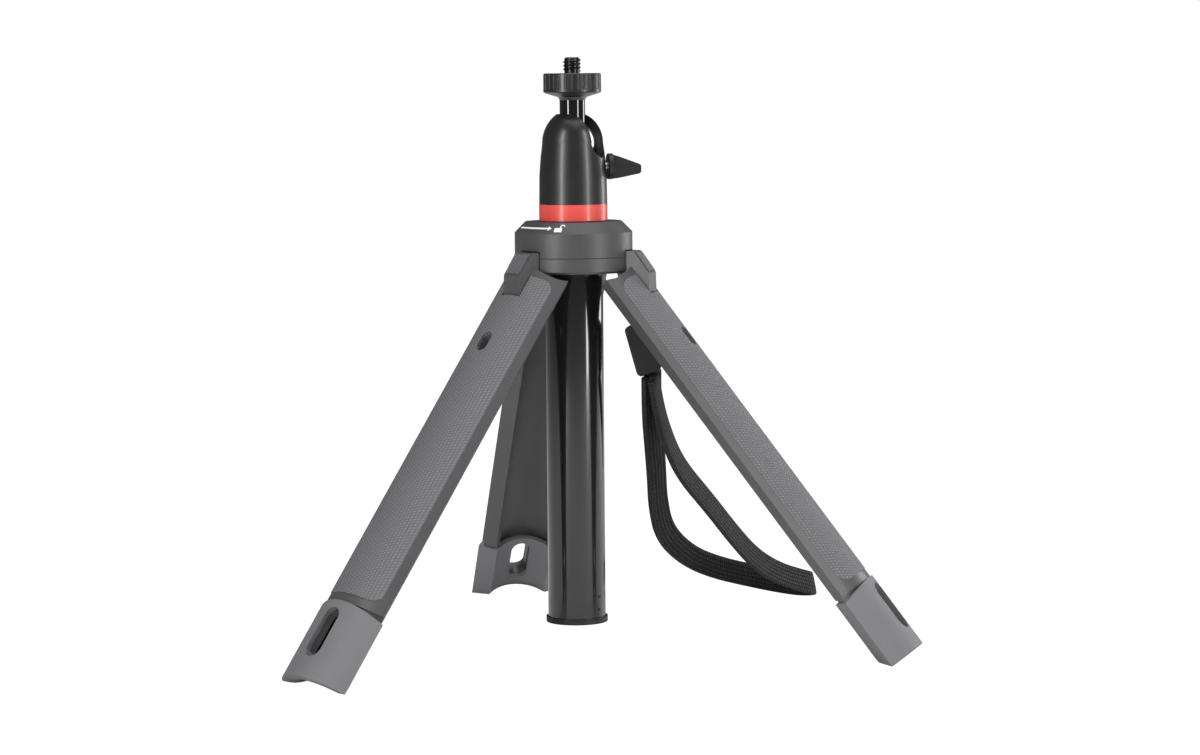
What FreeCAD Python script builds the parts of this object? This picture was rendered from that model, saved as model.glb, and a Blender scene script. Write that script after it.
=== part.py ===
import FreeCAD, Part
import math
import os
import Sketcher

# Small tripod with a telescoping column, three folding legs and a ball head.
# Millimetres, +Z up. Built round the column axis with the floor at z = 0,
# then moved sideways so that the origin is the middle of the footprint.

Vec = FreeCAD.Vector
os.makedirs("parts", exist_ok=True)
doc = FreeCAD.newDocument("tripod")
sheet = doc.addObject("Spreadsheet::Sheet", "Dims")
rowCount = [0]


class Size:
    # A number with the text of the cells that it comes from.
    def __init__(self, value, text):
        self.value = float(value)
        self.text = text

    def __add__(self, other):
        return Size(self.value + num(other), "(%s + %s)" % (self.text, word(other)))

    def __radd__(self, other):
        return Size(num(other) + self.value, "(%s + %s)" % (word(other), self.text))

    def __sub__(self, other):
        return Size(self.value - num(other), "(%s - %s)" % (self.text, word(other)))

    def __rsub__(self, other):
        return Size(num(other) - self.value, "(%s - %s)" % (word(other), self.text))

    def __mul__(self, other):
        return Size(self.value * num(other), "(%s * %s)" % (self.text, word(other)))

    def __rmul__(self, other):
        return Size(num(other) * self.value, "(%s * %s)" % (word(other), self.text))

    def __truediv__(self, other):
        return Size(self.value / num(other), "(%s / %s)" % (self.text, word(other)))

    def __neg__(self):
        return Size(-self.value, "(0 - %s)" % self.text)


def num(value):
    return value.value if isinstance(value, Size) else float(value)


def word(value):
    return value.text if isinstance(value, Size) else "%.6f" % value


def dim(alias, value):
    rowCount[0] += 1
    cell = "B%d" % rowCount[0]
    sheet.set("A%d" % rowCount[0], alias)
    sheet.set(cell, repr(value))
    sheet.setAlias(cell, alias)
    return Size(value, "Dims." + alias)


def bind(obj, prop, value):
    if isinstance(value, Size):
        obj.setExpression(prop, value.text)
    elif "." not in prop:
        setattr(obj, prop, value)


# Clearances
fitGap = dim("fitGap", 0.05)
looseGap = dim("looseGap", 0.3)

# Heights above the floor on the column axis
screwTip = dim("screwTip", 208.65)
discTop = dim("discTop", 203.0)
discRim = dim("discRim", 196.1)
stemFlare = dim("stemFlare", 194.6)
stemTop = dim("stemTop", 193.6)
ballMid = dim("ballMid", 178.5)
headTop = dim("headTop", 188.7)
headFoot = dim("headFoot", 157.0)
collarFoot = dim("collarFoot", 151.3)
hubTop = dim("hubTop", 151.0)
hubShoulder = dim("hubShoulder", 147.2)
hubSplit = dim("hubSplit", 138.6)
notchTop = dim("notchTop", 141.1)
hubFoot = dim("hubFoot", 133.1)
tubeTop = dim("tubeTop", 148.0)
tubeFoot = dim("tubeFoot", 10.0)
capFoot = dim("capFoot", 8.05)
leverLift = dim("leverLift", 170.1)

# Radii of the head
screwRad = dim("screwRad", 3.175)
shankRad = dim("shankRad", 2.9)
discRad = dim("discRad", 10.2)
fluteRad = dim("fluteRad", 0.55)
stemRad = dim("stemRad", 4.5)
spigotRad = dim("spigotRad", 3.0)
ballRad = dim("ballRad", 8.0)
mouthRad = dim("mouthRad", 5.3)
headRad = dim("headRad", 12.05)
collarRad = dim("collarRad", 12.1)
leverRad = dim("leverRad", 4.6)
leverTip = dim("leverTip", 24.2)
lockRad = dim("lockRad", 1.5)
notchTurn = dim("notchTurn", -35.0)
leverTurn = dim("leverTurn", -2.0)

# Radii of the column
tubeRad = dim("tubeRad", 10.3)
tubeWall = dim("tubeWall", 0.5)
stagePitch = dim("stagePitch", 1.2)
stageRise = dim("stageRise", 6.0)
sleeveLong = dim("sleeveLong", 8.0)
camLong = dim("camLong", 5.0)
capRad = dim("capRad", 11.0)
hubRad = dim("hubRad", 20.85)
coneRad = dim("coneRad", 17.1)
lipRad = dim("lipRad", 9.4)
splitEase = dim("splitEase", 0.2)

# Legs, drawn upright as they stand when folded
splay = dim("splay", 37.78)
pivotRad = dim("pivotRad", 17.0)
pivotLift = dim("pivotLift", 136.9)
legInner = dim("legInner", 14.4)
legHalf = dim("legHalf", 49.5)
legTop = dim("legTop", 132.6)
ovalLift = dim("ovalLift", 101.1)
bootTop = dim("bootTop", -4.1)
bootFoot = dim("bootFoot", -33.5)
bootProud = dim("bootProud", 0.8)
padHalf = dim("padHalf", 40.0)
padDeep = dim("padDeep", 1.2)
padProud = dim("padProud", 0.25)
padTop = dim("padTop", 129.1)
padFoot = dim("padFoot", -0.9)
padWide = dim("padWide", 13.5)
padCorner = dim("padCorner", 3.6)
knuckleWide = dim("knuckleWide", 8.8)
notchWide = dim("notchWide", 9.6)
pinRad = dim("pinRad", 1.25)
bossRad = dim("bossRad", 3.8)
bootRound = dim("bootRound", 6.0)
archRad = dim("archRad", 57.0)
slotWide = dim("slotWide", 7.3)
slotTop = dim("slotTop", -6.9)
slotFoot = dim("slotFoot", -25.9)


def plane(body, role):
    for item in body.Origin.OriginFeatures:
        if item.Role == role:
            return item
    raise ValueError(role)


def arcCentre(start, end, rad, left):
    middle = (start + end) * 0.5
    chord = end - start
    half = chord.Length / 2
    side = Vec(-chord.y, chord.x, 0)
    side.normalize()
    return middle + side * (math.sqrt(max(rad * rad - half * half, 0)) * (1 if left else -1))


def draw(body, name, role, points, lift=None):
    # Closed outline of lines; a third entry in a point makes the edge that
    # leads to it an arc of that radius, with its middle on the left of travel.
    sketch = body.newObject("Sketcher::SketchObject", name)
    sketch.AttachmentSupport = [(plane(body, role), "")]
    sketch.MapMode = "FlatFace"
    if lift is not None:
        bind(sketch, "AttachmentOffset.Base.z", lift)
    count = len(points)
    spots = [Vec(num(p[0]), num(p[1]), 0) for p in points]
    for k in range(count):
        start = spots[k]
        end = spots[(k + 1) % count]
        goal = points[(k + 1) % count]
        if len(goal) > 2:
            rad = num(goal[2])
            centre = arcCentre(start, end, rad, True)
            chordMid = (start + end) * 0.5
            away = chordMid - centre
            away.normalize()
            sketch.addGeometry(Part.Arc(start, centre + away * rad, end))
        else:
            sketch.addGeometry(Part.LineSegment(start, end))
    ends = []
    for k in range(count):
        geo = sketch.Geometry[k]
        first = 1
        if isinstance(geo, Part.ArcOfCircle) and (geo.StartPoint - spots[k]).Length > 1e-6:
            first = 2
        ends.append((first, 3 - first))
    for k in range(count):
        nxt = (k + 1) % count
        sketch.addConstraint(Sketcher.Constraint("Coincident", k, ends[k][1], nxt, ends[nxt][0]))
    for k, p in enumerate(points):
        for kind, value in (("DistanceX", p[0]), ("DistanceY", p[1])):
            mark = sketch.addConstraint(
                Sketcher.Constraint(kind, -1, 1, k, ends[k][0], num(value)))
            if isinstance(value, Size):
                sketch.setExpression("Constraints[%d]" % mark, value.text)
    for k in range(count):
        goal = points[(k + 1) % count]
        if len(goal) > 2:
            mark = sketch.addConstraint(Sketcher.Constraint("Radius", k, num(goal[2])))
            if isinstance(goal[2], Size):
                sketch.setExpression("Constraints[%d]" % mark, goal[2].text)
    return sketch


def turned(name, points, angle=None):
    body = doc.addObject("PartDesign::Body", name)
    sketch = draw(body, name + "_outline", "XZ_Plane", points)
    spin = body.newObject("PartDesign::Revolution", name + "_turn")
    spin.Profile = sketch
    spin.ReferenceAxis = (sketch, ["V_Axis"])
    spin.Angle = 360
    if angle is not None:
        bind(spin, "Angle", angle)
        spin.Midplane = True
    return body


def slab(name, role, points, thick):
    # Outline on a body plane, thickened equally both ways.
    body = doc.addObject("PartDesign::Body", name)
    sketch = draw(body, name + "_outline", role, points)
    pad = body.newObject("PartDesign::Pad", name + "_pad")
    pad.Profile = sketch
    bind(pad, "Length", thick)
    pad.Midplane = True
    return body


def ring(name, outer, inner, low, high):
    return turned(name, [(inner, low), (outer, low), (outer, high), (inner, high)])


def rod(name, rad, length, base=(0, 0, 0), turn=None):
    item = doc.addObject("Part::Cylinder", name)
    bind(item, "Radius", rad)
    bind(item, "Height", length)
    spot = Vec(*[num(v) for v in base])
    item.Placement = FreeCAD.Placement(spot, turn or FreeCAD.Rotation())
    for axis, value in zip("xyz", base):
        bind(item, "Placement.Base." + axis, value)
    return item


def brick(name, sizeX, sizeY, sizeZ, base, turn=None):
    item = doc.addObject("Part::Box", name)
    bind(item, "Length", sizeX)
    bind(item, "Width", sizeY)
    bind(item, "Height", sizeZ)
    spot = Vec(*[num(v) for v in base])
    item.Placement = FreeCAD.Placement(spot, turn or FreeCAD.Rotation())
    for axis, value in zip("xyz", base):
        bind(item, "Placement.Base." + axis, value)
    return item


def join(name, items):
    item = doc.addObject("Part::MultiFuse", name)
    item.Shapes = items
    return item


def less(name, base, tools):
    item = doc.addObject("Part::Cut", name)
    item.Base = base
    item.Tool = tools[0] if len(tools) == 1 else join(name + "_tools", tools)
    return item


def both(name, first, second):
    item = doc.addObject("Part::Common", name)
    item.Base = first
    item.Tool = second
    return item


def aroundZ(angle):
    return FreeCAD.Rotation(Vec(0, 0, 1), angle)


def alongY():
    return FreeCAD.Rotation(Vec(1, 0, 0), -90)


def alongX():
    return FreeCAD.Rotation(Vec(0, 1, 0), 90)


nodes = {}
cordNames = ["strap_cord", "strap_block", "strap_webbing"]


def node(name, item, placement=None):
    item.Label = name
    if placement is not None:
        item.Placement = placement
    nodes[name] = item
    return item


def bound(angle, low):
    # Placement that turns a piece about the column axis.
    return FreeCAD.Placement(Vec(0, 0, low), aroundZ(angle))


# Camera screw: shank down into the ball stem, thread above the disc
shankFoot = stemTop - 4.0
screwTurned = turned("screw_turned", [
    (0, shankFoot), (shankRad, shankFoot), (shankRad, discTop - 0.6),
    (screwRad, discTop - 0.6 + (screwRad - shankRad)), (screwRad, screwTip - 0.55),
    (screwRad - 0.55, screwTip), (0, screwTip)])
node("camera_screw", screwTurned)

# Knurled disc: fluted rim above a plain lip, free to turn on the shank
fluteFoot = discRim + 1.2
discTurned = turned("disc_turned", [
    (shankRad + fitGap, stemFlare + fitGap), (5.1, stemFlare + fitGap), (9.8, discRim),
    (discRad, discRim + 0.4), (discRad, discTop - 0.4), (discRad - 0.4, discTop),
    (4.2, discTop), (4.2, discTop - 0.9), (shankRad + fitGap, discTop - 0.9)])
flutes = []
fluteCount = 28
for k in range(fluteCount):
    a = 2 * math.pi * k / fluteCount
    reach = discRad + 0.2
    flutes.append(rod("flute_%d" % k, fluteRad, discTop - fluteFoot + 1,
                      (reach * math.cos(a), reach * math.sin(a), fluteFoot)))
node("knurled_disc", less("disc_fluted", discTurned, flutes))

# Ball with a bored flat, and the stem that carries the disc
ballRound = doc.addObject("Part::Sphere", "ball_round")
bind(ballRound, "Radius", ballRad)
bind(ballRound, "Placement.Base.z", ballMid)
ballFlat = rod("ball_flat", ballRad, 6.0, (0, 0, ballMid + 6.6))
ballBore = rod("ball_bore", spigotRad + fitGap, 12.0, (0, 0, ballMid + 2.0))
node("ball", less("ball_cut", ballRound, [ballFlat, ballBore]))
stemTurned = turned("stem_turned", [
    (0, ballMid + 2.2), (spigotRad, ballMid + 2.2), (spigotRad, ballMid + 6.6 + fitGap),
    (stemRad, ballMid + 6.6 + fitGap), (stemRad, stemTop), (5.1, stemFlare),
    (shankRad + fitGap, stemFlare), (shankRad + fitGap, shankFoot - fitGap), (0, shankFoot - fitGap)])
node("ball_stem", stemTurned)

# Head housing: domed shell with a seat for the ball and a bottom web
seatRad = ballRad + looseGap
webLow = dim("webLow", 162.0)
webHigh = dim("webHigh", 164.0)
socketRad = tubeRad - stagePitch * 4 + fitGap
domeRad = dim("domeRad", 12.6)
domeShift = dim("domeShift", 1.8)
shell = turned("head_outer", [
    (0, headFoot), (headRad, headFoot), (11.9, headFoot + 10.0), (11.4, headFoot + 16.4),
    (domeRad - domeShift, ballMid), (5.6, headTop, domeRad), (0, headTop)])
seatMouth = 6.3875
hollow = turned("head_hollow", [
    (0, webHigh), (seatRad, webHigh), (seatRad, ballMid),
    (mouthRad, ballMid + seatMouth, seatRad), (mouthRad, headTop + 1), (0, headTop + 1)])
socket = rod("head_socket", socketRad, webLow - headFoot + 1, (0, 0, headFoot - 1))
webBore = rod("web_bore", 2.05, 6.0, (0, 0, webLow - 2))
notchBox = brick("drop_slot", 20.0, mouthRad * 2, 20.0, (0, -mouthRad, ballMid))
notchRound = rod("drop_round", mouthRad, 20.0, (0, 0, ballMid), alongX())
dropCut = join("drop_cut", [notchBox, notchRound])
dropCut.Placement = bound(notchTurn.value, 0)
lockBore = rod("lock_bore", lockRad + fitGap, 20.0, (0, 0, leverLift), alongX())
lockCut = join("lock_cut", [lockBore, rod("lock_bore_copy", lockRad + fitGap, 19.0, (0, 0, leverLift), alongX())])
lockCut.Placement = bound(leverTurn.value, 0)
node("head_housing", less("head_cut", shell, [hollow, socket, webBore, dropCut, lockCut]))

# Pressure cup under the ball
cupRad = seatRad - fitGap
cupSolid = turned("cup_solid", [
    (3.6, webHigh + 2.6), (cupRad, webHigh + 2.6), (cupRad, ballMid - 5.8), (3.6, ballMid - 5.8)])
cupSeat = doc.addObject("Part::Sphere", "cup_seat")
bind(cupSeat, "Radius", ballRad + fitGap)
bind(cupSeat, "Placement.Base.z", ballMid)
node("pressure_cup", less("cup_cut", cupSolid, [cupSeat]))

# Lock lever: tapered wing on a short stub screw
leverRoot = 12.5
wing = slab("lever_wing", "XZ_Plane", [
    (leverRoot, leverLift - leverRad), (16.0, leverLift - 4.1), (leverTip - 0.6, leverLift - 2.6),
    (leverTip, leverLift - 2.0), (leverTip, leverLift + 0.2), (leverTip - 0.6, leverLift + 0.8),
    (16.0, leverLift + 3.6), (leverRoot, leverLift + leverRad)], 4.4)
wingRound = rod("lever_round", leverRad, leverTip, (leverRoot - 0.5, 0, leverLift), alongX())
wingDisc = rod("lever_disc", leverRad, 1.6, (leverRoot, 0, leverLift), alongX())
wingBody = join("lever_body", [both("lever_trim", wing, wingRound), wingDisc])
wingBore = rod("lever_bore", lockRad + fitGap, 6.0, (leverRoot - 0.5, 0, leverLift), alongX())
node("lock_lever", less("lever_cut", wingBody, [wingBore]), bound(leverTurn.value, 0))
lockScrew = rod("lock_screw_rod", lockRad, 17.5 - num(seatRad), (seatRad, 0, leverLift), alongX())
lockHold = join("lock_screw_hold", [lockScrew, rod("lock_screw_neck", lockRad, 4.0, (10.0, 0, leverLift), alongX())])
node("lock_screw", lockHold, bound(leverTurn.value, 0))

# Red collar, tube plug and the screw that holds the head on stage 4
node("red_collar", ring("collar_ring", collarRad, socketRad + 0.1, collarFoot, headFoot))
lastInner = tubeRad - stagePitch * 4 - tubeWall
stageTop = webLow - fitGap
node("tube_plug", ring("plug_ring", lastInner - fitGap, 1.6 + fitGap, stageTop - 9.0, stageTop))
node("head_base_screw", turned("base_screw_turned", [
    (0, stageTop - 8.0), (1.6, stageTop - 8.0), (1.6, stageTop), (2.0, stageTop),
    (2.0, webHigh + fitGap), (3.4, webHigh + fitGap), (3.4, webHigh + 1.8), (1.2, webHigh + 1.8),
    (1.2, webHigh + 0.9), (0, webHigh + 0.9)]))

# Hub: cap with the cone, body with the hinge seats, both notched for the legs
azimuths = {"back": 90.0, "left": 210.0, "right": 330.0}
hubBore = tubeRad + fitGap
capSolid = turned("hub_cap_solid", [
    (hubBore, hubSplit), (hubRad - splitEase, hubSplit), (hubRad, hubSplit + splitEase),
    (hubRad, hubShoulder), (coneRad, hubTop),
    (lipRad, hubTop), (lipRad, tubeTop + fitGap), (hubBore, tubeTop + fitGap)])
bodySolid = turned("hub_body_solid", [
    (hubBore, hubFoot), (hubRad - 0.8, hubFoot), (hubRad, hubFoot + 0.8), (hubRad, hubSplit - splitEase),
    (hubRad - splitEase, hubSplit), (hubBore, hubSplit)])
notchDepth = dim("notchDepth", 12.9)


def hubTools(prefix, top):
    tools = []
    for key, angle in azimuths.items():
        block = brick(prefix + key + "_notch", 12.0, notchWide, top - hubFoot + 1.0,
                      (notchDepth, -notchWide / 2, hubFoot - 1.0))
        reach = 8.1
        seat = rod(prefix + key + "_seat", pinRad + fitGap, 2 * reach,
                   (pivotRad, -reach, pivotLift), alongY())
        slotCut = brick(prefix + key + "_drop", (pinRad + fitGap) * 2, 2 * reach,
                        hubSplit - pivotLift, (pivotRad - pinRad - fitGap, -reach, pivotLift))
        group = join(prefix + key + "_group", [block, seat, slotCut])
        group.Placement = bound(angle, 0)
        tools.append(group)
    return tools


def screwHoles(prefix, rad, low, high, count=3):
    tools = []
    for k in range(count):
        a = math.radians(30 + 120 * k)
        tools.append(rod("%s_%d" % (prefix, k), rad, high - low,
                         (16.0 * math.cos(a), 16.0 * math.sin(a), low)))
    return tools


hubScrewRad = dim("hubScrewRad", 1.2)
headSink = dim("headSink", 2.0)
holes = screwHoles("hub_hole", hubScrewRad + fitGap, hubFoot - 1.0, hubSplit + 6.1)
sinks = screwHoles("hub_sink", 2.4, hubFoot - 1.0, hubFoot + headSink)
node("hub_cap", less("hub_cap_cut", capSolid, hubTools("cap_", notchTop) + holes))
node("hub_body", less("hub_body_cut", bodySolid, hubTools("body_", notchTop) + holes + sinks))
screwParts = screwHoles("hub_screw_rod", hubScrewRad, hubFoot + 1.0, hubSplit + 5.9)
screwParts += screwHoles("hub_screw_head", 2.3, hubFoot + 0.4, hubFoot + headSink - 0.02)
node("hub_screws", join("hub_screw_set", screwParts))
pins = []
for key, angle in azimuths.items():
    pin = rod(key + "_pin_rod", pinRad, 16.0, (pivotRad, -8.0, pivotLift), alongY())
    hold = join(key + "_pin_hold", [pin, rod(key + "_pin_mid", pinRad, 8.0, (pivotRad, -4.0, pivotLift), alongY())])
    hold.Placement = bound(angle, 0)
    pins.append(hold)
node("hinge_pins", join("hinge_pin_set", pins))

# Outer tube with its foot cap and the two small pins
node("outer_tube", ring("outer_tube_ring", tubeRad, tubeRad - tubeWall, tubeFoot, tubeTop))
node("end_cap", turned("end_cap_turned", [
    (3.0, capFoot), (capRad, capFoot), (capRad, tubeFoot), (tubeRad - tubeWall - fitGap, tubeFoot),
    (tubeRad - tubeWall - fitGap, tubeFoot + 4.0), (3.0, tubeFoot + 4.0)]))
pinRods = []
for k, lift in enumerate((17.6, 13.0)):
    pinRods.append(rod("tiny_pin_%d" % k, 0.45, 0.8, (tubeRad - 0.5, 0, lift), alongX()))
pinHoles = []
for k, lift in enumerate((17.6, 13.0)):
    pinHoles.append(rod("tiny_hole_%d" % k, 0.5, 2.0, (tubeRad - 1.5, 0, lift), alongX()))
outerCut = less("outer_tube_cut", nodes["outer_tube"], [join("tiny_holes", pinHoles)])
outerCut.Tool.Placement = bound(-52.0, 0)
nodes["outer_tube"].Label = "outer_tube_plain"
node("outer_tube", outerCut)
node("tube_pins", join("tiny_pins", pinRods), bound(-52.0, 0))

# Four stages, each with a brake sleeve and a cam in its foot and a guide bush
# in its top for the next one; the outer tube carries the first bush
bushLong = sleeveLong


def bushFor(name, wallInner, nextRad, top):
    node(name, ring(name + "_ring", wallInner - fitGap, nextRad + fitGap, top - bushLong, top))


bushFor("outer_bush", tubeRad - tubeWall, tubeRad - stagePitch, tubeTop)
for k in range(1, 5):
    rad = tubeRad - stagePitch * k
    inner = rad - tubeWall
    low = tubeFoot + 5.0 + stageRise * (k - 1)
    top = stageTop if k == 4 else tubeTop + 2.0 + 0.15 * k
    name = "stage_%d" % k
    node(name + "_tube", ring(name + "_ring", rad, inner, low, top))
    node(name + "_sleeve", ring(name + "_sleeve_ring", rad + stagePitch - tubeWall - fitGap,
                                rad + 0.01, low, low + sleeveLong))
    node(name + "_cam", ring(name + "_cam_ring", inner - fitGap, 1.5, low, low + camLong))
    if k < 4:
        bushFor(name + "_bush", inner, rad - stagePitch, top)

# Legs
sectorAngle = legHalf * 2


def sector(name, inner, outer, low, high, angle):
    return turned(name, [(inner, low), (outer, low), (outer, high), (inner, high)], angle)


def rounded(name, halfWide, low, high, corner):
    # Rounded outline seen from outside the leg, run right through it.
    return slab(name, "YZ_Plane", [
        (corner - halfWide, low, corner), (halfWide - corner, low), (halfWide, low + corner, corner),
        (halfWide, high - corner), (halfWide - corner, high, corner), (corner - halfWide, high),
        (-halfWide, high - corner, corner), (-halfWide, low + corner)], 70.0)


for key, angle in azimuths.items():
    tag = key + "_"
    # The leg is drawn upright and then swung out round its hinge
    swingOut = FreeCAD.Placement(
        Vec(0, 0, 0), FreeCAD.Rotation(Vec(0, 1, 0), -splay.value),
        Vec(pivotRad.value, 0, pivotLift.value))
    where = FreeCAD.Placement(Vec(0, 0, 0), aroundZ(angle)).multiply(swingOut)
    # Shell: a sector of a tube with a channel inside
    full = sector(tag + "shell_full", legInner, hubRad, bootFoot + 6.0, legTop, sectorAngle)
    channel = sector(tag + "channel", legInner - 1.0, hubRad - 3.6, bootTop - 20.0, 118.0, sectorAngle - 18.0)
    bed = sector(tag + "pad_bed", hubRad - padDeep, hubRad + 1.0, padFoot - 1.0, padTop + 1.0, padHalf * 2 + 6.0)
    bedPlan = rounded(tag + "bed_plan", padWide + 0.03, padFoot - 0.03, padTop + 0.03, padCorner)
    recess = both(tag + "pad_recess", bed, bedPlan)
    neck = sector(tag + "neck_trim", hubRad - 1.1, hubRad + 1.0, bootFoot, bootTop - 0.1, 120.0)
    neckIn = sector(tag + "neck_inner", legInner - 2.0, legInner + 1.1, bootFoot, bootTop - 0.1, 120.0)
    swing = rod(tag + "swing", 5.75, 60.0, (pivotRad, -30.0, pivotLift), alongY())
    lugWide = knuckleWide + 0.1
    lugRoom = brick(tag + "lug_room", 9.0, lugWide, 16.0, (hubRad - 7.5, -lugWide / 2, 120.0))
    oval = rod(tag + "oval", 2.55, 20.0, (10.0, 0, ovalLift), alongX())
    ovalHigh = rod(tag + "oval_high", 2.55, 20.0, (10.0, 0, ovalLift + 1.35), alongX())
    ovalLow = rod(tag + "oval_low", 2.55, 20.0, (10.0, 0, ovalLift - 1.35), alongX())
    slotLow = rod(tag + "slot_low", slotWide / 2, 20.0, (10.0, 0, slotFoot + slotWide / 2), alongX())
    slotHigh = rod(tag + "slot_high", slotWide / 2, 20.0, (10.0, 0, slotTop - slotWide / 2), alongX())
    slotMid = brick(tag + "slot_mid", 20.0, slotWide, slotTop - slotFoot - slotWide,
                    (10.0, -slotWide / 2, slotFoot + slotWide / 2))
    openings = [oval, ovalHigh, ovalLow, slotLow, slotHigh, slotMid]
    leg = less(tag + "shell_cut", full, [channel, recess, neck, neckIn, swing, lugRoom] + openings)
    # Grip pad with a notch for the knuckle
    padSheet = sector(tag + "pad_sheet", hubRad - padDeep + 0.03, hubRad + padProud,
                      padFoot - 1.0, padTop + 1.0, padHalf * 2 + 6.0)
    padSolid = both(tag + "pad_solid", padSheet, rounded(tag + "pad_plan", padWide, padFoot, padTop, padCorner))
    padNotch = brick(tag + "pad_notch", 9.0, knuckleWide + 0.8, 14.0,
                     (hubRad - 5.0, -(knuckleWide + 0.8) / 2, 120.4))
    pad = less(tag + "pad_cut", padSolid, [padNotch, oval, ovalHigh, ovalLow])
    # Knuckle: side outline thickened, bored for the hinge pin
    knuckleSide = slab(tag + "knuckle_side", "XZ_Plane", [
        (19.33, 139.9), (15.2, 138.2), (15.2, 134.6), (hubRad - 7.4, 130.0), (hubRad - 7.4, 121.0),
        (20.15, 121.0), (24.09, 126.47), (24.39, 135.98)], knuckleWide)
    boss = rod(tag + "boss", bossRad, knuckleWide, (pivotRad, -knuckleWide / 2, pivotLift), alongY())
    bore = rod(tag + "knuckle_bore", pinRad + fitGap, 20.0, (pivotRad, -10.0, pivotLift), alongY())
    knuckle = less(tag + "knuckle_cut", join(tag + "knuckle_all", [knuckleSide, boss]), [bore])
    # Knuckle pad: raised inset on the outer faces
    inset = slab(tag + "inset", "XZ_Plane", [
        (24.16, 127.2), (24.56, 127.2), (24.81, 135.2), (24.41, 135.2)], knuckleWide - 1.8)
    # Boot over the neck of the leg
    bootHalf = legHalf * 2 + 4.4
    bootIn = legInner - bootProud
    bootSolid = turned(tag + "boot_solid", [
        (bootIn, bootFoot + bootRound), (bootIn + bootRound, bootFoot, bootRound),
        (hubRad + bootProud, bootFoot), (hubRad + bootProud, bootTop), (bootIn, bootTop)], bootHalf)
    arch = rod(tag + "boot_arch", archRad, 60.0, (0, 0, bootTop - archRad), alongX())
    sleeve = sector(tag + "boot_room", legInner + 1.05, hubRad - 1.05, bootFoot + 5.9, bootTop + 1.0, sectorAngle + 0.3)
    floorCut = brick(tag + "floor", 80.0, 80.0, 20.0, (60.0, -40.0, -20.0))
    floorCut.Placement = where.inverse().multiply(
        FreeCAD.Placement(Vec(0, 0, 0), aroundZ(angle)).multiply(
            FreeCAD.Placement(Vec(60.0, -40.0, -20.0), FreeCAD.Rotation())))
    bootArched = both(tag + "boot_arched", bootSolid, arch)
    boot = less(tag + "boot_cut", bootArched, [sleeve, slotLow, slotHigh, slotMid, floorCut])
    node(key + "_leg_shell", leg, where)
    node(key + "_grip_pad", pad, where)
    node(key + "_hinge_knuckle", knuckle, where)
    node(key + "_knuckle_pad", inset, where)
    node(key + "_foot_boot", boot, where)

# Wrist strap: block, folded webbing and the thin cord through the right leg
blockTurn = -12.07
block = slab("strap_block_side", "XZ_Plane", [
    (23.4, 95.2), (29.8, 97.2), (30.9, 98.7), (27.2, 113.6), (25.8, 114.9), (19.4, 113.2),
    (17.8, 111.8), (22.1, 96.1)], 6.0)
blockBack = 4.05
node("strap_block", block, bound(blockTurn, 0).multiply(
    FreeCAD.Placement(Vec(0, blockBack, 0), FreeCAD.Rotation())))


def softPath(points, close=0.45):
    # Straight runs joined by tangent arcs; returns the edges and the radii.
    spots = [Vec(*p) for p in points]
    edges = []
    radii = []
    here = spots[0]
    for k in range(1, len(spots) - 1):
        back = spots[k - 1] - spots[k]
        ahead = spots[k + 1] - spots[k]
        turn = math.pi - back.getAngle(ahead)
        cutBack = close * min(back.Length, ahead.Length)
        radii.append(round(cutBack / math.tan(turn / 2), 1))
        back.normalize()
        ahead.normalize()
        start = spots[k] + back * cutBack
        end = spots[k] + ahead * cutBack
        inward = back + ahead
        inward.normalize()
        rad = cutBack / math.tan(turn / 2)
        centreFar = math.sqrt(rad * rad + cutBack * cutBack)
        middle = spots[k] + inward * (centreFar - rad)
        if (start - here).Length > 1e-6:
            edges.append(Part.LineSegment(here, start).toShape())
        edges.append(Part.Arc(start, middle, end).toShape())
        here = end
    edges.append(Part.LineSegment(here, spots[-1]).toShape())
    return Part.Wire(edges), radii


webWide = dim("webWide", 9.0)
webThick = dim("webThick", 2.5)
cordRad = dim("cordRad", 0.9)
webRoute = [
    (27.9, -0.3, 95.8), (29.8, 7.9, 82.7), (33.7, 20.4, 69.6), (37.8, 33.9, 56.1),
    (41.0, 45.4, 42.6), (46.1, 55.6, 29.6), (58.0, 67.4, 19.0), (71.0, 74.8, 12.9),
    (84.0, 77.1, 9.2), (94.3, 76.5, 6.7), (102.9, 72.6, 5.4), (107.3, 68.6, 5.8),
    (106.5, 63.6, 7.0), (100.9, 61.8, 8.7), (91.8, 59.1, 12.0), (80.7, 53.3, 18.9),
    (69.4, 44.5, 30.6), (57.9, 34.6, 43.7), (44.4, 23.2, 57.9), (36.9, 13.1, 70.3),
    (31.2, 3.6, 83.1), (27.8, -3.3, 95.4)]
cordRoute = [
    (36.0, -20.8, 110.7), (32.0, -18.5, 108.0), (28.2, -13.2, 108.6), (25.2, -8.0, 111.4),
    (23.0, -4.8, 113.4)]

doc.recompute()


def swept(name, route, section, rad):
    wire, radii = softPath(route)
    body = section(wire)
    item = doc.addObject("Part::Feature", name)
    item.Shape = body
    print(name, "length", round(wire.Length, 1), "radii", radii)
    return item, wire


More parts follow.
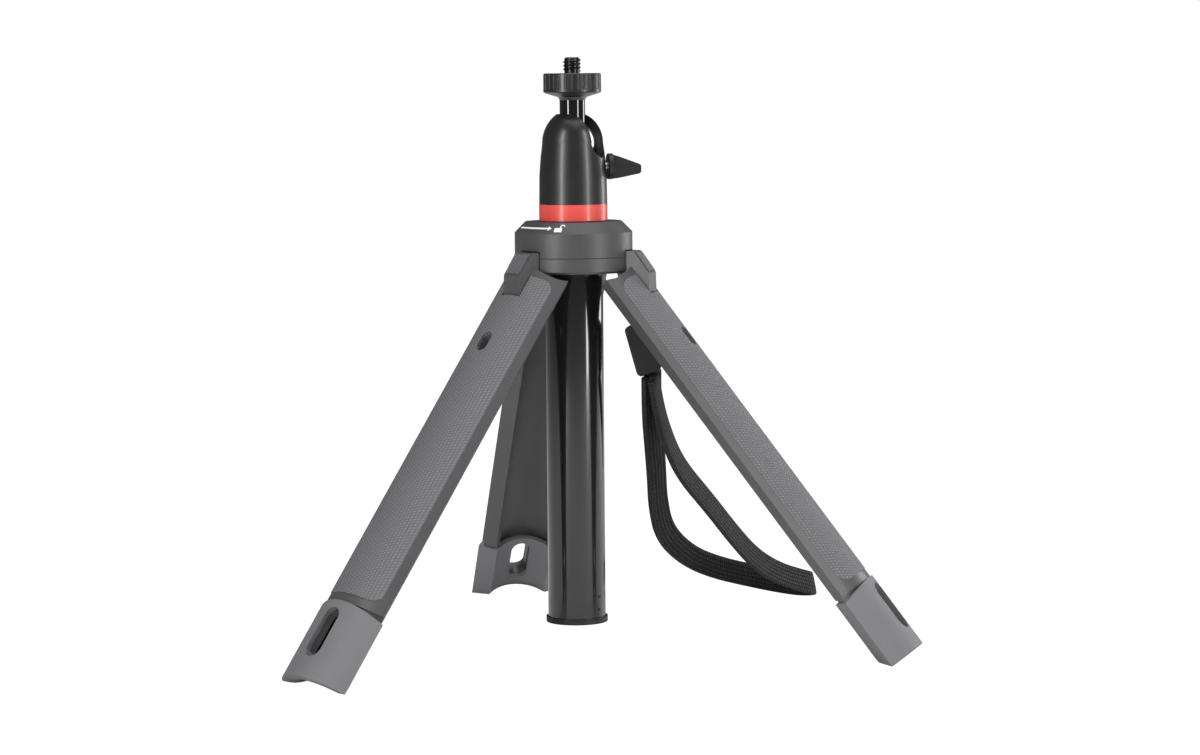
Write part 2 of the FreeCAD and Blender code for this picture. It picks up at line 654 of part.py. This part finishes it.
def flatSection(wire):
    # A flat band; its width starts across the way it leaves the block.
    first = wire.OrderedEdges[0]
    along = first.tangentAt(first.FirstParameter)
    start = first.valueAt(first.FirstParameter)
    # It stands on its edge at the fold; that width is carried back to the block.
    spots = [Vec(*p) for p in webRoute]
    fold = 11
    wide = Vec(0, 0, 1)
    for k in range(fold - 1, -1, -1):
        ahead = spots[k + 2] - spots[k + 1]
        back = spots[k + 1] - spots[k]
        wide = FreeCAD.Rotation(ahead, back).multVec(wide)
    wide = wide - along * wide.dot(along)
    wide.normalize()
    thick = along.cross(wide)
    w = wide * (webWide.value / 2)
    t = thick * (webThick.value / 2)
    corners = [start + w + t, start - w + t, start - w - t, start + w - t, start + w + t]
    profile = Part.makePolygon(corners)
    return wire.makePipeShell([profile], True, False)


def roundSection(wire):
    first = wire.OrderedEdges[0]
    along = first.tangentAt(first.FirstParameter)
    start = first.valueAt(first.FirstParameter)
    circle = Part.Circle(start, along, cordRad.value)
    return wire.makePipeShell([Part.Wire(circle.toShape())], True, False)


web, webWire = swept("strap_webbing_band", webRoute, flatSection, None)
node("strap_webbing", web)
cord, cordWire = swept("strap_cord_round", cordRoute, roundSection, None)
node("strap_cord", cord)
print("webbing volume", round(web.Shape.Volume, 1), "section x length",
      round(webWide.value * webThick.value * webWire.Length, 1))
print("cord volume", round(cord.Shape.Volume, 1), "section x length",
      round(math.pi * cordRad.value ** 2 * cordWire.Length, 1))

# Middle of the footprint becomes the origin
box = FreeCAD.BoundBox()
for key in azimuths:
    for spot in nodes[key + "_foot_boot"].Shape.tessellate(0.02)[0]:
        box.add(spot)
shift = FreeCAD.Placement(Vec(-box.Center.x, -box.Center.y, -box.ZMin), FreeCAD.Rotation())
print("column axis at", round(-box.Center.x, 3), round(-box.Center.y, 3), "floor", round(box.ZMin, 3))
for item in nodes.values():
    item.Placement = shift.multiply(item.Placement)
doc.recompute()

bad = []
for item in doc.Objects:
    if "Invalid" in item.State or "Error" in item.State:
        bad.append(item.Name)
for name, item in nodes.items():
    shape = item.Shape
    if shape.isNull() or not shape.isValid() or len(shape.Solids) < 1:
        bad.append(name + " shape")
print("faults", bad)
for name, item in nodes.items():
    print("%-20s %10.1f mm3  solids %d" % (name, item.Shape.Volume, len(item.Shape.Solids)))
if bad:
    raise SystemExit("some pieces are not sound")
for name, item in nodes.items():
    item.Shape.exportStep("parts/" + name + ".step")
print("pieces", len(nodes))
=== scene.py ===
import math

import bmesh
import bpy
from mathutils import Matrix, Vector


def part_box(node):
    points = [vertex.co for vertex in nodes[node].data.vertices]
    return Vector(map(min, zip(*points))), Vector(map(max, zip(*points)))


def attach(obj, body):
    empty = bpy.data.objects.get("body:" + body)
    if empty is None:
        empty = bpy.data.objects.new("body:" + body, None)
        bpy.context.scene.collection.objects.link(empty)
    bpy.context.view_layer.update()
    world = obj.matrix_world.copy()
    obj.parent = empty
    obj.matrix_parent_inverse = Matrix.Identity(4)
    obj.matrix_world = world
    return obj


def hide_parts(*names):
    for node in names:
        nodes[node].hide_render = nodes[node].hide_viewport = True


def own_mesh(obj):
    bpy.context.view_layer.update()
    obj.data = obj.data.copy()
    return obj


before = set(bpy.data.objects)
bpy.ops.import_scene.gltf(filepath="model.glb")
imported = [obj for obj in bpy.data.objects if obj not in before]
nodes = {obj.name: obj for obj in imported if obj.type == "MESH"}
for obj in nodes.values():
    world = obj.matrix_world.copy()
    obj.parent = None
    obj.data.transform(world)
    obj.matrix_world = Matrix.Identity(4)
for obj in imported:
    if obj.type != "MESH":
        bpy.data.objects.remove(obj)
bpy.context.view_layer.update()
mm = 0.001
tubeLow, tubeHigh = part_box("outer_tube")
axisX = (tubeLow[0] + tubeHigh[0]) / 2
axisY = (tubeLow[1] + tubeHigh[1]) / 2
column = Vector((axisX, axisY, 0))


# camera, at the photograph's angle
def makeCamera():
    view = {"place": (-0.2297, -1.07421, 0.19855), "lens": 93.12,
            "right": (0.97595, -0.21782, -0.00866), "up": (0.0288, 0.08948, 0.99557)}
    data = bpy.data.cameras.new("viewCamera")
    data.lens = view["lens"]
    data.sensor_width = 36
    data.sensor_fit = "HORIZONTAL"
    camera = bpy.data.objects.new("viewCamera", data)
    right = Vector(view["right"]).normalized()
    up = Vector(view["up"])
    up = (up - right * up.dot(right)).normalized()
    back = right.cross(up)
    turn = Matrix((right, up, back)).transposed().to_4x4()
    camera.matrix_world = Matrix.Translation(column + Vector(view["place"])) @ turn
    bpy.context.scene.collection.objects.link(camera)
    bpy.context.scene.camera = camera


makeCamera()
print("camera done")


# shader helpers
class Value:
    # wraps a socket so that plain arithmetic adds Math nodes
    def __init__(self, finish, socket):
        self.finish = finish
        self.socket = socket

    def maths(self, operation, first, second=0.0):
        node = self.finish.add("ShaderNodeMath", {"operation": operation}, {0: first, 1: second})
        return Value(self.finish, node.outputs[0])

    def __add__(self, other):
        return self.maths("ADD", self, other)

    __radd__ = __add__

    def __sub__(self, other):
        return self.maths("SUBTRACT", self, other)

    def __rsub__(self, other):
        return self.maths("SUBTRACT", other, self)

    def __mul__(self, other):
        return self.maths("MULTIPLY", self, other)

    __rmul__ = __mul__

    def sine(self):
        return self.maths("SINE", self)

    def size(self):
        return self.maths("ABSOLUTE", self)

    def above(self, limit):
        return self.maths("GREATER_THAN", self, limit)

    def power(self, exponent):
        return self.maths("POWER", self, exponent)


class Finish:
    def __init__(self, name, color, roughness, **fixed):
        self.material = bpy.data.materials.new(name)
        self.material.use_nodes = True
        self.tree = self.material.node_tree
        self.shader = self.tree.nodes["Principled BSDF"]
        self.shader.inputs["Base Color"].default_value = (*color, 1)
        self.shader.inputs["Roughness"].default_value = roughness
        for key, value in fixed.items():
            self.shader.inputs[key.replace("_", " ")].default_value = value
        self.color = color
        self.roughness = roughness
        self.coords = self.add("ShaderNodeTexCoord").outputs["Object"]

    def add(self, kind, settings=None, values=None):
        node = self.tree.nodes.new(kind)
        for key, value in (settings or {}).items():
            setattr(node, key, value)
        for key, value in (values or {}).items():
            if isinstance(value, Value):
                value = value.socket
            if isinstance(value, bpy.types.NodeSocket):
                self.tree.links.new(value, node.inputs[key])
            else:
                node.inputs[key].default_value = value
        return node

    def noise(self, scale, detail=3.0):
        node = self.add("ShaderNodeTexNoise", {}, {
            "Vector": self.coords, "Scale": scale, "Detail": detail})
        return Value(self, node.outputs["Fac"])

    def along(self, direction):
        node = self.add("ShaderNodeVectorMath", {"operation": "DOT_PRODUCT"},
                        {0: self.coords, 1: tuple(direction)})
        return Value(self, node.outputs["Value"])

    def attribute(self, name):
        node = self.add("ShaderNodeAttribute", {"attribute_name": name})
        return Value(self, node.outputs["Fac"])

    def blendColor(self, mask, first, second):
        node = self.add("ShaderNodeMix", {"data_type": "RGBA"})
        self.tree.links.new(mask.socket, node.inputs[0])
        for index, value in ((6, first), (7, second)):
            if isinstance(value, bpy.types.NodeSocket):
                self.tree.links.new(value, node.inputs[index])
            else:
                node.inputs[index].default_value = (*value, 1)
        return node.outputs[2]

    def feed(self, name, value):
        if isinstance(value, Value):
            value = value.socket
        self.tree.links.new(value, self.shader.inputs[name])

    def bump(self, height, depth, strength=1.0):
        node = self.add("ShaderNodeBump", {}, {
            "Height": height, "Distance": depth, "Strength": strength})
        self.tree.links.new(node.outputs["Normal"], self.shader.inputs["Normal"])

    def grain(self, scale, depth, shade=0.12, spread=0.08):
        # fine moulded grain with a slight change of tone and gloss
        fine = self.noise(scale, 4.0)
        broad = self.noise(scale / 14, 2.0)
        darker = tuple(c * (1 - shade) for c in self.color)
        lighter = tuple(min(1, c * (1 + shade)) for c in self.color)
        self.feed("Base Color", self.blendColor(broad, darker, lighter))
        self.feed("Roughness", self.roughness - spread / 2 + fine * spread)
        self.bump(fine, depth)


def paint(node, finish):
    item = nodes[node]
    if not item.material_slots:
        item.data.materials.append(finish.material)
    for place in item.material_slots:
        place.material = finish.material


# finishes
hubGrey = Finish("hubGrey", (0.058, 0.057, 0.060), 0.42)
hubGrey.grain(900, 0.00004)
legGrey = Finish("legGrey", (0.070, 0.069, 0.072), 0.40)
legGrey.grain(900, 0.00004)
bootGrey = Finish("bootGrey", (0.150, 0.149, 0.157), 0.62)
bootGrey.grain(700, 0.00005)
tubeBlack = Finish("tubeBlack", (0.010, 0.010, 0.011), 0.16, Coat_Weight=0.6)
tubeBlack.grain(120, 0.000004, 0.1, 0.05)
stemBlack = Finish("stemBlack", (0.006, 0.006, 0.007), 0.10, Coat_Weight=0.5)
stemBlack.grain(200, 0.000004, 0.1, 0.05)
headBlack = Finish("headBlack", (0.013, 0.013, 0.014), 0.34, Coat_Weight=0.1)
headBlack.grain(1500, 0.00001, 0.1, 0.06)
leverBlack = Finish("leverBlack", (0.005, 0.005, 0.006), 0.42)
leverBlack.grain(1200, 0.00002)
plainBlack = Finish("plainBlack", (0.005, 0.005, 0.006), 0.55)
plainBlack.grain(800, 0.00004)
collarRed = Finish("collarRed", (0.74, 0.075, 0.062), 0.38, Coat_Weight=0.2)
collarRed.grain(600, 0.00001, 0.05, 0.06)
screwSteel = Finish("screwSteel", (0.60, 0.60, 0.62), 0.28, Metallic=1.0)
screwSteel.grain(1500, 0.00001, 0.08, 0.1)
ballSteel = Finish("ballSteel", (0.30, 0.30, 0.32), 0.22, Metallic=1.0)
ballSteel.grain(800, 0.000005, 0.08, 0.08)
screwBlack = Finish("screwBlack", (0.022, 0.018, 0.019), 0.26, Metallic=0.6)
screwBlack.grain(1500, 0.00001, 0.1, 0.1)
markWhite = Finish("markWhite", (0.86, 0.86, 0.86), 0.5)
markWhite.grain(900, 0.00001, 0.03)

legAngles = {"back": 90.0, "left": 210.0, "right": 330.0}
splay = math.radians(37.78)
padFinish = {"pitch": 1.15 * mm, "slope": 0.58, "depth": 0.00016}


def legVectors(angle):
    a = math.radians(angle)
    out = Vector((math.cos(a), math.sin(a), 0))
    down = out * math.sin(splay) - Vector((0, 0, math.cos(splay)))
    side = Vector((-math.sin(a), math.cos(a), 0))
    crown = out * math.cos(splay) + Vector((0, 0, math.sin(splay)))
    return down, side, crown


def padMaterial(name, angle, color):
    # rows of small raised points that meet in a chevron on the crown line
    finish = Finish(name, color, 0.58)
    down, side, crown = legVectors(angle)
    wave = 2 * math.pi / padFinish["pitch"]
    shift = column.dot(side)
    across = finish.along(side) - shift
    rows = ((finish.along(down) + across.size() * padFinish["slope"]) * wave).sine()
    lines = (across * wave).sine()
    points = (rows * 0.5 + 0.5) * (lines * 0.5 + 0.5)
    fine = finish.noise(1500, 3.0)
    # the colour follows the raised points: painted shade in the hollows between them and a painted
    # highlight on their tops
    darker = tuple(c * 0.72 for c in color)
    lighter = tuple(min(1, c * 1.3) for c in color)
    finish.feed("Base Color", finish.blendColor(points, darker, lighter))
    finish.feed("Roughness", 0.66 - points * 0.16)
    finish.bump(points + fine * 0.1, padFinish["depth"])
    return finish


for key, angle in legAngles.items():
    pad = padMaterial(key + "PadRubber", angle, (0.150, 0.146, 0.156))
    paint(key + "_grip_pad", pad)
    paint(key + "_knuckle_pad", padMaterial(key + "KnuckleRubber", angle, (0.125, 0.123, 0.130)))
    paint(key + "_leg_shell", legGrey)
    paint(key + "_hinge_knuckle", legGrey)
    paint(key + "_foot_boot", bootGrey)

finishOf = {
    "hub_cap": hubGrey, "hub_body": hubGrey, "hub_screws": screwSteel, "hinge_pins": screwSteel,
    "outer_tube": tubeBlack, "end_cap": plainBlack, "tube_pins": plainBlack,
    "outer_bush": plainBlack, "tube_plug": plainBlack, "head_base_screw": screwSteel,
    "head_housing": headBlack, "pressure_cup": plainBlack, "red_collar": collarRed,
    "lock_lever": leverBlack, "lock_screw": screwSteel, "ball": ballSteel,
    "ball_stem": stemBlack, "knurled_disc": headBlack}
for name in nodes:
    if name.startswith("stage_"):
        finishOf[name] = tubeBlack if name.endswith("tube") else plainBlack
for name, finish in finishOf.items():
    paint(name, finish)
print("finishes done")


def addPiece(name, bm, finish, body, smooth=True):
    mesh = bpy.data.meshes.new(name)
    bm.to_mesh(mesh)
    bm.free()
    item = bpy.data.objects.new(name, mesh)
    bpy.context.scene.collection.objects.link(item)
    mesh.materials.append(finish.material)
    for face in mesh.polygons:
        face.use_smooth = smooth
    if body:
        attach(item, body)
    return item


# strap: the same route as the solid, as a smooth line
strap = {
    "route": [
        (27.9, -0.3, 95.8), (29.8, 7.9, 82.7), (33.7, 20.4, 69.6), (37.8, 33.9, 56.1),
        (41.0, 45.4, 42.6), (46.1, 55.6, 29.6), (58.0, 67.4, 19.0), (71.0, 74.8, 12.9),
        (84.0, 77.1, 9.2), (94.3, 76.5, 6.7), (102.9, 72.6, 5.4), (107.3, 68.6, 5.8),
        (106.5, 63.6, 7.0), (100.9, 61.8, 8.7), (91.8, 59.1, 12.0), (80.7, 53.3, 18.9),
        (69.4, 44.5, 30.6), (57.9, 34.6, 43.7), (44.4, 23.2, 57.9), (36.9, 13.1, 70.3),
        (31.2, 3.6, 83.1), (27.8, -3.3, 95.4)],
    "width": 9.0, "thick": 2.5, "length": 0.309, "ribs": 5}
thinCord = {
    "route": [(36.0, -20.8, 110.7), (32.0, -18.5, 108.0), (28.2, -13.2, 108.6),
              (25.2, -8.0, 111.4), (23.0, -4.8, 113.4)],
    "diameter": 1.8}


def routePoints(route):
    return [column + Vector(p) * mm for p in route]


def smoothCurve(name, route):
    data = bpy.data.curves.new(name, "CURVE")
    data.dimensions = "3D"
    data.resolution_u = 8
    spline = data.splines.new("NURBS")
    points = routePoints(route)
    spline.points.add(len(points) - 1)
    for spot, point in zip(spline.points, points):
        spot.co = (*point, 1)
    spline.order_u = 3
    spline.use_endpoint_u = True
    item = bpy.data.objects.new(name, data)
    bpy.context.scene.collection.objects.link(item)
    return item


def curveLine(name, route):
    item = smoothCurve(name, route)
    bpy.context.view_layer.update()
    mesh = bpy.data.meshes.new_from_object(item)
    line = [v.co.copy() for v in mesh.vertices]
    bpy.data.meshes.remove(mesh)
    bpy.data.objects.remove(item)
    return line


def bandFrames(line):
    # the band stands on its edge at the fold and turns with the line from there
    tangents = []
    for k in range(len(line)):
        a = line[max(k - 1, 0)]
        b = line[min(k + 1, len(line) - 1)]
        tangents.append((b - a).normalized())
    fold = max(range(len(line)), key=lambda k: (line[k] - line[0]).length)
    wides = [None] * len(line)
    start = Vector((0, 0, 1))
    start = (start - tangents[fold] * start.dot(tangents[fold])).normalized()
    wides[fold] = start
    for step in (1, -1):
        k = fold
        while 0 <= k + step < len(line):
            turn = tangents[k].rotation_difference(tangents[k + step])
            wides[k + step] = turn @ wides[k]
            k += step
    frames = []
    for spot, along, wide in zip(line, tangents, wides):
        thick = along.cross(wide)
        turn = Matrix((wide, thick, along)).transposed().to_4x4()
        frames.append(Matrix.Translation(spot) @ turn)
    return frames


def sectionVerts(bm):
    # rounded flat section with lengthwise ribs on its inner face
    made = bmesh.ops.create_circle(bm, segments=64, radius=1.0)["verts"]
    half = strap["width"] / 2 * mm
    thick = strap["thick"] / 2 * mm
    for v in made:
        turn = math.atan2(v.co.y, v.co.x)
        x = math.copysign(abs(math.cos(turn)) ** 0.35, math.cos(turn))
        y = math.copysign(abs(math.sin(turn)) ** 0.35, math.sin(turn))
        if y > 0:
            y *= 0.86 + 0.14 * abs(math.sin(math.pi * strap["ribs"] / 2 * (x + 1)))
        v.co = Vector((x * half, y * thick, 0))
    return made


webFinish = Finish("webbingKnit", (0.014, 0.014, 0.015), 0.75)
across = webFinish.attribute("across")
along = webFinish.attribute("along")
knitWave = 2 * math.pi / 1.1
loops = ((along + across.size() * 0.45) * knitWave).sine() * 0.5 + 0.5
columns = (across * (2 * math.pi / 1.5)).sine() * 0.5 + 0.5
knitReliefAndShade = loops * columns
# the knit mask also sets the colour: painted shade between the loops and a painted highlight on the loop
# tops
webFinish.feed("Base Color", webFinish.blendColor(knitReliefAndShade, (0.004, 0.004, 0.005), (0.034, 0.034, 0.036)))
webFinish.feed("Roughness", 0.9 - knitReliefAndShade * 0.25)
webFinish.bump(knitReliefAndShade + webFinish.noise(3000, 2.0) * 0.2, 0.0003)


def makeWebbing():
    line = curveLine("webbingLine", strap["route"])
    frames = bandFrames(line)
    bm = bmesh.new()
    acrossLayer = bm.verts.layers.float.new("across")
    alongLayer = bm.verts.layers.float.new("along")
    verts = sectionVerts(bm)
    for v in verts:
        v[acrossLayer] = v.co.x / mm
    bmesh.ops.transform(bm, matrix=frames[0], verts=verts)
    edges = list({e for v in verts for e in v.link_edges})
    firstEdges = edges
    travelled = 0.0
    for k in range(1, len(frames)):
        travelled += (line[k] - line[k - 1]).length / mm
        made = bmesh.ops.extrude_edge_only(bm, edges=edges)["geom"]
        verts = [g for g in made if isinstance(g, bmesh.types.BMVert)]
        edges = [g for g in made if isinstance(g, bmesh.types.BMEdge)]
        bmesh.ops.transform(bm, matrix=frames[k] @ frames[k - 1].inverted(), verts=verts)
        for v in verts:
            v[alongLayer] = travelled
    bmesh.ops.contextual_create(bm, geom=firstEdges)
    bmesh.ops.contextual_create(bm, geom=edges)
    bmesh.ops.recalc_face_normals(bm, faces=bm.faces)
    item = addPiece("wrist_webbing", bm, webFinish, "right_leg")
    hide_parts("strap_webbing")
    return item


def makeThinCord():
    guide = smoothCurve("cordLine", thinCord["route"])
    guide.data.bevel_depth = thinCord["diameter"] / 2 * mm
    guide.data.bevel_resolution = 4
    guide.data.use_fill_caps = True
    bpy.context.view_layer.update()
    bm = bmesh.new()
    mesh = bpy.data.meshes.new_from_object(guide)
    bm.from_mesh(mesh)
    bpy.data.meshes.remove(mesh)
    bpy.data.objects.remove(guide)
    bmesh.ops.remove_doubles(bm, verts=bm.verts, dist=1e-7)
    bmesh.ops.recalc_face_normals(bm, faces=bm.faces)
    finish = Finish("braidedBlack", (0.015, 0.015, 0.016), 0.7)
    braidReliefAndShade = (finish.along((1, 1, 0)) * 5200).sine() * (finish.along((1, -1, 1)) * 5200).sine()
    # the braid mask also sets the colour: painted shade in the hollows and a painted highlight on the
    # raised strands
    finish.feed("Base Color", finish.blendColor(braidReliefAndShade * 0.5 + 0.5, (0.01, 0.01, 0.01), (0.04, 0.04, 0.042)))
    finish.feed("Roughness", 0.8 - braidReliefAndShade * 0.1)
    finish.bump(braidReliefAndShade, 0.0001)
    item = addPiece("wrist_cord", bm, finish, "right_leg")
    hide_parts("strap_cord")
    return item


webbing = makeWebbing()
cordPiece = makeThinCord()
print("strap done")


# strap block: a folded plastic clamp with a rounded outline
def makeClamp():
    clamp = {"turn": -12.07, "back": 4.05, "thick": 6.0, "round": 0.7,
             "outline": [(23.4, 95.2), (29.8, 97.2), (30.9, 98.7), (27.2, 113.6),
                         (25.8, 114.9), (19.4, 113.2), (17.8, 111.8), (22.1, 96.1)]}
    bm = bmesh.new()
    ring = [bm.verts.new(Vector((x, clamp["back"] - clamp["thick"] / 2, z)) * mm)
            for x, z in clamp["outline"]]
    face = bm.faces.new(ring)
    made = bmesh.ops.extrude_face_region(bm, geom=[face])["geom"]
    verts = [g for g in made if isinstance(g, bmesh.types.BMVert)]
    bmesh.ops.translate(bm, vec=(0, clamp["thick"] * mm, 0), verts=verts)
    bmesh.ops.recalc_face_normals(bm, faces=bm.faces)
    bmesh.ops.bevel(bm, geom=bm.edges[:], offset=clamp["round"] * mm, affect="EDGES",
                    segments=3, profile=0.5, material=-1)
    place = Matrix.Translation(column) @ Matrix.Rotation(math.radians(clamp["turn"]), 4, "Z")
    bmesh.ops.transform(bm, matrix=place, verts=bm.verts)
    item = addPiece("strap_clamp", bm, plainBlack, "right_leg", False)
    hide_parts("strap_block")
    return item


clampPiece = makeClamp()


# the strap, clamp and cord each get a mesh of their own
def tuckStrap():
    down, side, crown = legVectors(legAngles["right"])
    for item in (webbing, clampPiece, cordPiece):
        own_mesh(item)


tuckStrap()


# camera screw with its thread
def makeScrew():
    screw = {"low": 189.6, "threadLow": 203.2, "top": 208.6, "rad": 3.175, "root": 2.72,
             "shank": 2.9, "pitch": 1.27, "steps": 48}
    bm = bmesh.new()
    profile = [(0, screw["low"]), (screw["shank"], screw["low"]), (screw["shank"], 202.6),
               (screw["root"], 202.9), (screw["root"], screw["top"] - 0.5),
               (screw["root"] - 0.5, screw["top"]), (0, screw["top"])]
    verts = [bm.verts.new((axisX + r * mm, axisY, z * mm)) for r, z in profile]
    edges = [bm.edges.new(pair) for pair in zip(verts, verts[1:])]
    bmesh.ops.spin(bm, geom=verts + edges, cent=column, axis=(0, 0, 1), angle=2 * math.pi,
                   steps=screw["steps"], use_merge=True)
    bmesh.ops.remove_doubles(bm, verts=bm.verts, dist=1e-6)
    turns = (screw["top"] - screw["threadLow"]) / screw["pitch"] - 1.0
    tooth = [(screw["root"] - 0.05, 0.12), (screw["rad"], 0.52), (screw["rad"], 0.66),
             (screw["root"] - 0.05, 1.06)]
    ring = [bm.verts.new((axisX + r * mm, axisY, (screw["threadLow"] + z) * mm)) for r, z in tooth]
    loop = [bm.edges.new(pair) for pair in zip(ring, ring[1:] + ring[:1])]
    count = int(turns * screw["steps"])
    last = bmesh.ops.spin(bm, geom=ring + loop, cent=column, axis=(0, 0, 1),
                          dvec=(0, 0, screw["pitch"] * mm / screw["steps"]),
                          angle=2 * math.pi * count / screw["steps"], steps=count)
    bmesh.ops.holes_fill(bm, edges=[e for e in bm.edges if e.is_boundary], sides=4)
    bmesh.ops.recalc_face_normals(bm, faces=bm.faces)
    item = addPiece("threaded_screw", bm, screwBlack, "stem", True)
    item.data.set_sharp_from_angle(angle=math.radians(35))
    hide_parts("camera_screw")


makeScrew()


# turn arrow and open padlock on the cone of the hub
def makeMarks():
    cone = {"rad": 19.0, "lift": 149.1, "outR": 0.712, "outZ": 0.702, "proud": 0.05, "line": 0.75}

    def spotAt(angle, x, y):
        a = math.radians(angle) + x / cone["rad"]
        out = Vector((math.cos(a), math.sin(a), 0))
        rise = Vector((0, 0, 1)) * cone["outR"] - out * cone["outZ"]
        face = out * cone["outR"] + Vector((0, 0, 1)) * cone["outZ"]
        base = out * cone["rad"] + Vector((0, 0, cone["lift"]))
        return column + (base + rise * y + face * cone["proud"]) * mm

    def stroke(bm, angle, points, widths):
        # a painted line: one short edge is extruded along the points
        edge = None
        for k, (x, y) in enumerate(points):
            half = widths[min(k, len(widths) - 1)] / 2
            before = points[max(k - 1, 0)]
            after = points[min(k + 1, len(points) - 1)]
            way = Vector((after[0] - before[0], after[1] - before[1])).normalized()
            left = spotAt(angle, x - way.y * half, y + way.x * half)
            right = spotAt(angle, x + way.y * half, y - way.x * half)
            if edge is None:
                a, b = bm.verts.new(left), bm.verts.new(right)
                edge = bm.edges.new((a, b))
                continue
            made = bmesh.ops.extrude_edge_only(bm, edges=[edge])["geom"]
            fresh = [g for g in made if isinstance(g, bmesh.types.BMVert)]
            for v in fresh:
                partner = [e.other_vert(v) for e in v.link_edges if e.other_vert(v) in (a, b)][0]
                v.co = left if partner is a else right
            a, b = sorted(fresh, key=lambda v: (v.co - left).length)
            edge = [e for e in a.link_edges if e.other_vert(a) is b][0]

    arrow = {"from": -176.0, "to": -128.5}
    bm = bmesh.new()
    span = math.radians(arrow["to"] - arrow["from"]) * cone["rad"]
    steps = 24
    stroke(bm, arrow["from"], [(span * k / steps, 0.0) for k in range(steps + 1)], [cone["line"]])
    stroke(bm, arrow["to"], [(-0.4, 0.0), (0.9, 0.0)], [2.1, 0.12])
    bmesh.ops.recalc_face_normals(bm, faces=bm.faces)
    arrowMark = addPiece("turn_arrow", bm, markWhite, "hub", True)

    lock = {"angle": -118.2}
    bm = bmesh.new()
    box = [(-1.35, -0.7), (1.35, -0.7)]
    stroke(bm, lock["angle"], box, [1.9])
    arch = [(0.8, 0.1), (0.8, 0.9)]
    for k in range(1, 9):
        a = math.pi - math.pi * k / 8
        arch.append((1.5 + 0.7 * math.cos(a), 0.9 + 0.75 * math.sin(a)))
    stroke(bm, lock["angle"], arch, [0.45])
    bmesh.ops.recalc_face_normals(bm, faces=bm.faces)
    lockMark = addPiece("open_padlock", bm, markWhite, "hub", True)
    for item in (arrowMark, lockMark):
        for face in item.data.polygons:
            out = Vector((face.center.x - axisX, face.center.y - axisY, 0.01))
            if face.normal.dot(out) < 0:
                face.flip()


makeMarks()
print("marks done")


# floor, backdrop and light
def makeStage():
    bm = bmesh.new()
    bmesh.ops.create_grid(bm, x_segments=1, y_segments=1, size=6.0)
    mesh = bpy.data.meshes.new("paleFloor")
    bm.to_mesh(mesh)
    bm.free()
    floor = bpy.data.objects.new("paleFloor", mesh)
    bpy.context.scene.collection.objects.link(floor)
    finish = Finish("floorWhite", (0.93, 0.93, 0.93), 0.9)
    tree = finish.tree
    glow = finish.add("ShaderNodeEmission", {}, {"Color": (1, 1, 1, 1), "Strength": 1.19})
    path = finish.add("ShaderNodeLightPath")
    seen = Value(finish, path.outputs["Is Camera Ray"]) * 0.85
    mix = finish.add("ShaderNodeMixShader", {}, {0: seen, 1: finish.shader.outputs[0], 2: glow.outputs[0]})
    out = [n for n in tree.nodes if n.type == "OUTPUT_MATERIAL"][0]
    tree.links.new(mix.outputs[0], out.inputs["Surface"])
    mesh.materials.append(finish.material)

    world = bpy.data.worlds.new("studio")
    bpy.context.scene.world = world
    world.use_nodes = True
    tree = world.node_tree
    back = tree.nodes["Background"]
    back.inputs["Color"].default_value = (1, 1, 1, 1)
    path = tree.nodes.new("ShaderNodeLightPath")
    grow = tree.nodes.new("ShaderNodeMath")
    grow.operation = "MULTIPLY_ADD"
    tree.links.new(path.outputs["Is Camera Ray"], grow.inputs[0])
    grow.inputs[1].default_value = 0.88
    grow.inputs[2].default_value = 0.12
    tree.links.new(grow.outputs[0], back.inputs["Strength"])

    lamps = [
        {"name": "leftStrip", "place": (-0.75, -0.62, 0.30), "wide": 0.16, "tall": 1.1, "power": 8.5},
        {"name": "rightStrip", "place": (0.62, -0.78, 0.30), "wide": 0.14, "tall": 1.1, "power": 7.0},
        {"name": "rimStrip", "place": (0.95, 0.35, 0.35), "wide": 0.3, "tall": 0.9, "power": 5.0},
        {"name": "topBox", "place": (0.1, -0.1, 1.2), "wide": 1.0, "tall": 1.0, "power": 6.5}]
    for lamp in lamps:
        data = bpy.data.lights.new(lamp["name"], "AREA")
        data.shape = "RECTANGLE"
        data.size = lamp["wide"]
        data.size_y = lamp["tall"]
        data.energy = lamp["power"]
        item = bpy.data.objects.new(lamp["name"], data)
        bpy.context.scene.collection.objects.link(item)
        item.location = Vector(lamp["place"])
        aim = Vector((0, 0, 0.1)) - item.location
        item.rotation_euler = aim.to_track_quat("-Z", "Y").to_euler()


makeStage()
bpy.context.scene.view_settings.view_transform = "Standard"
print("stage done")
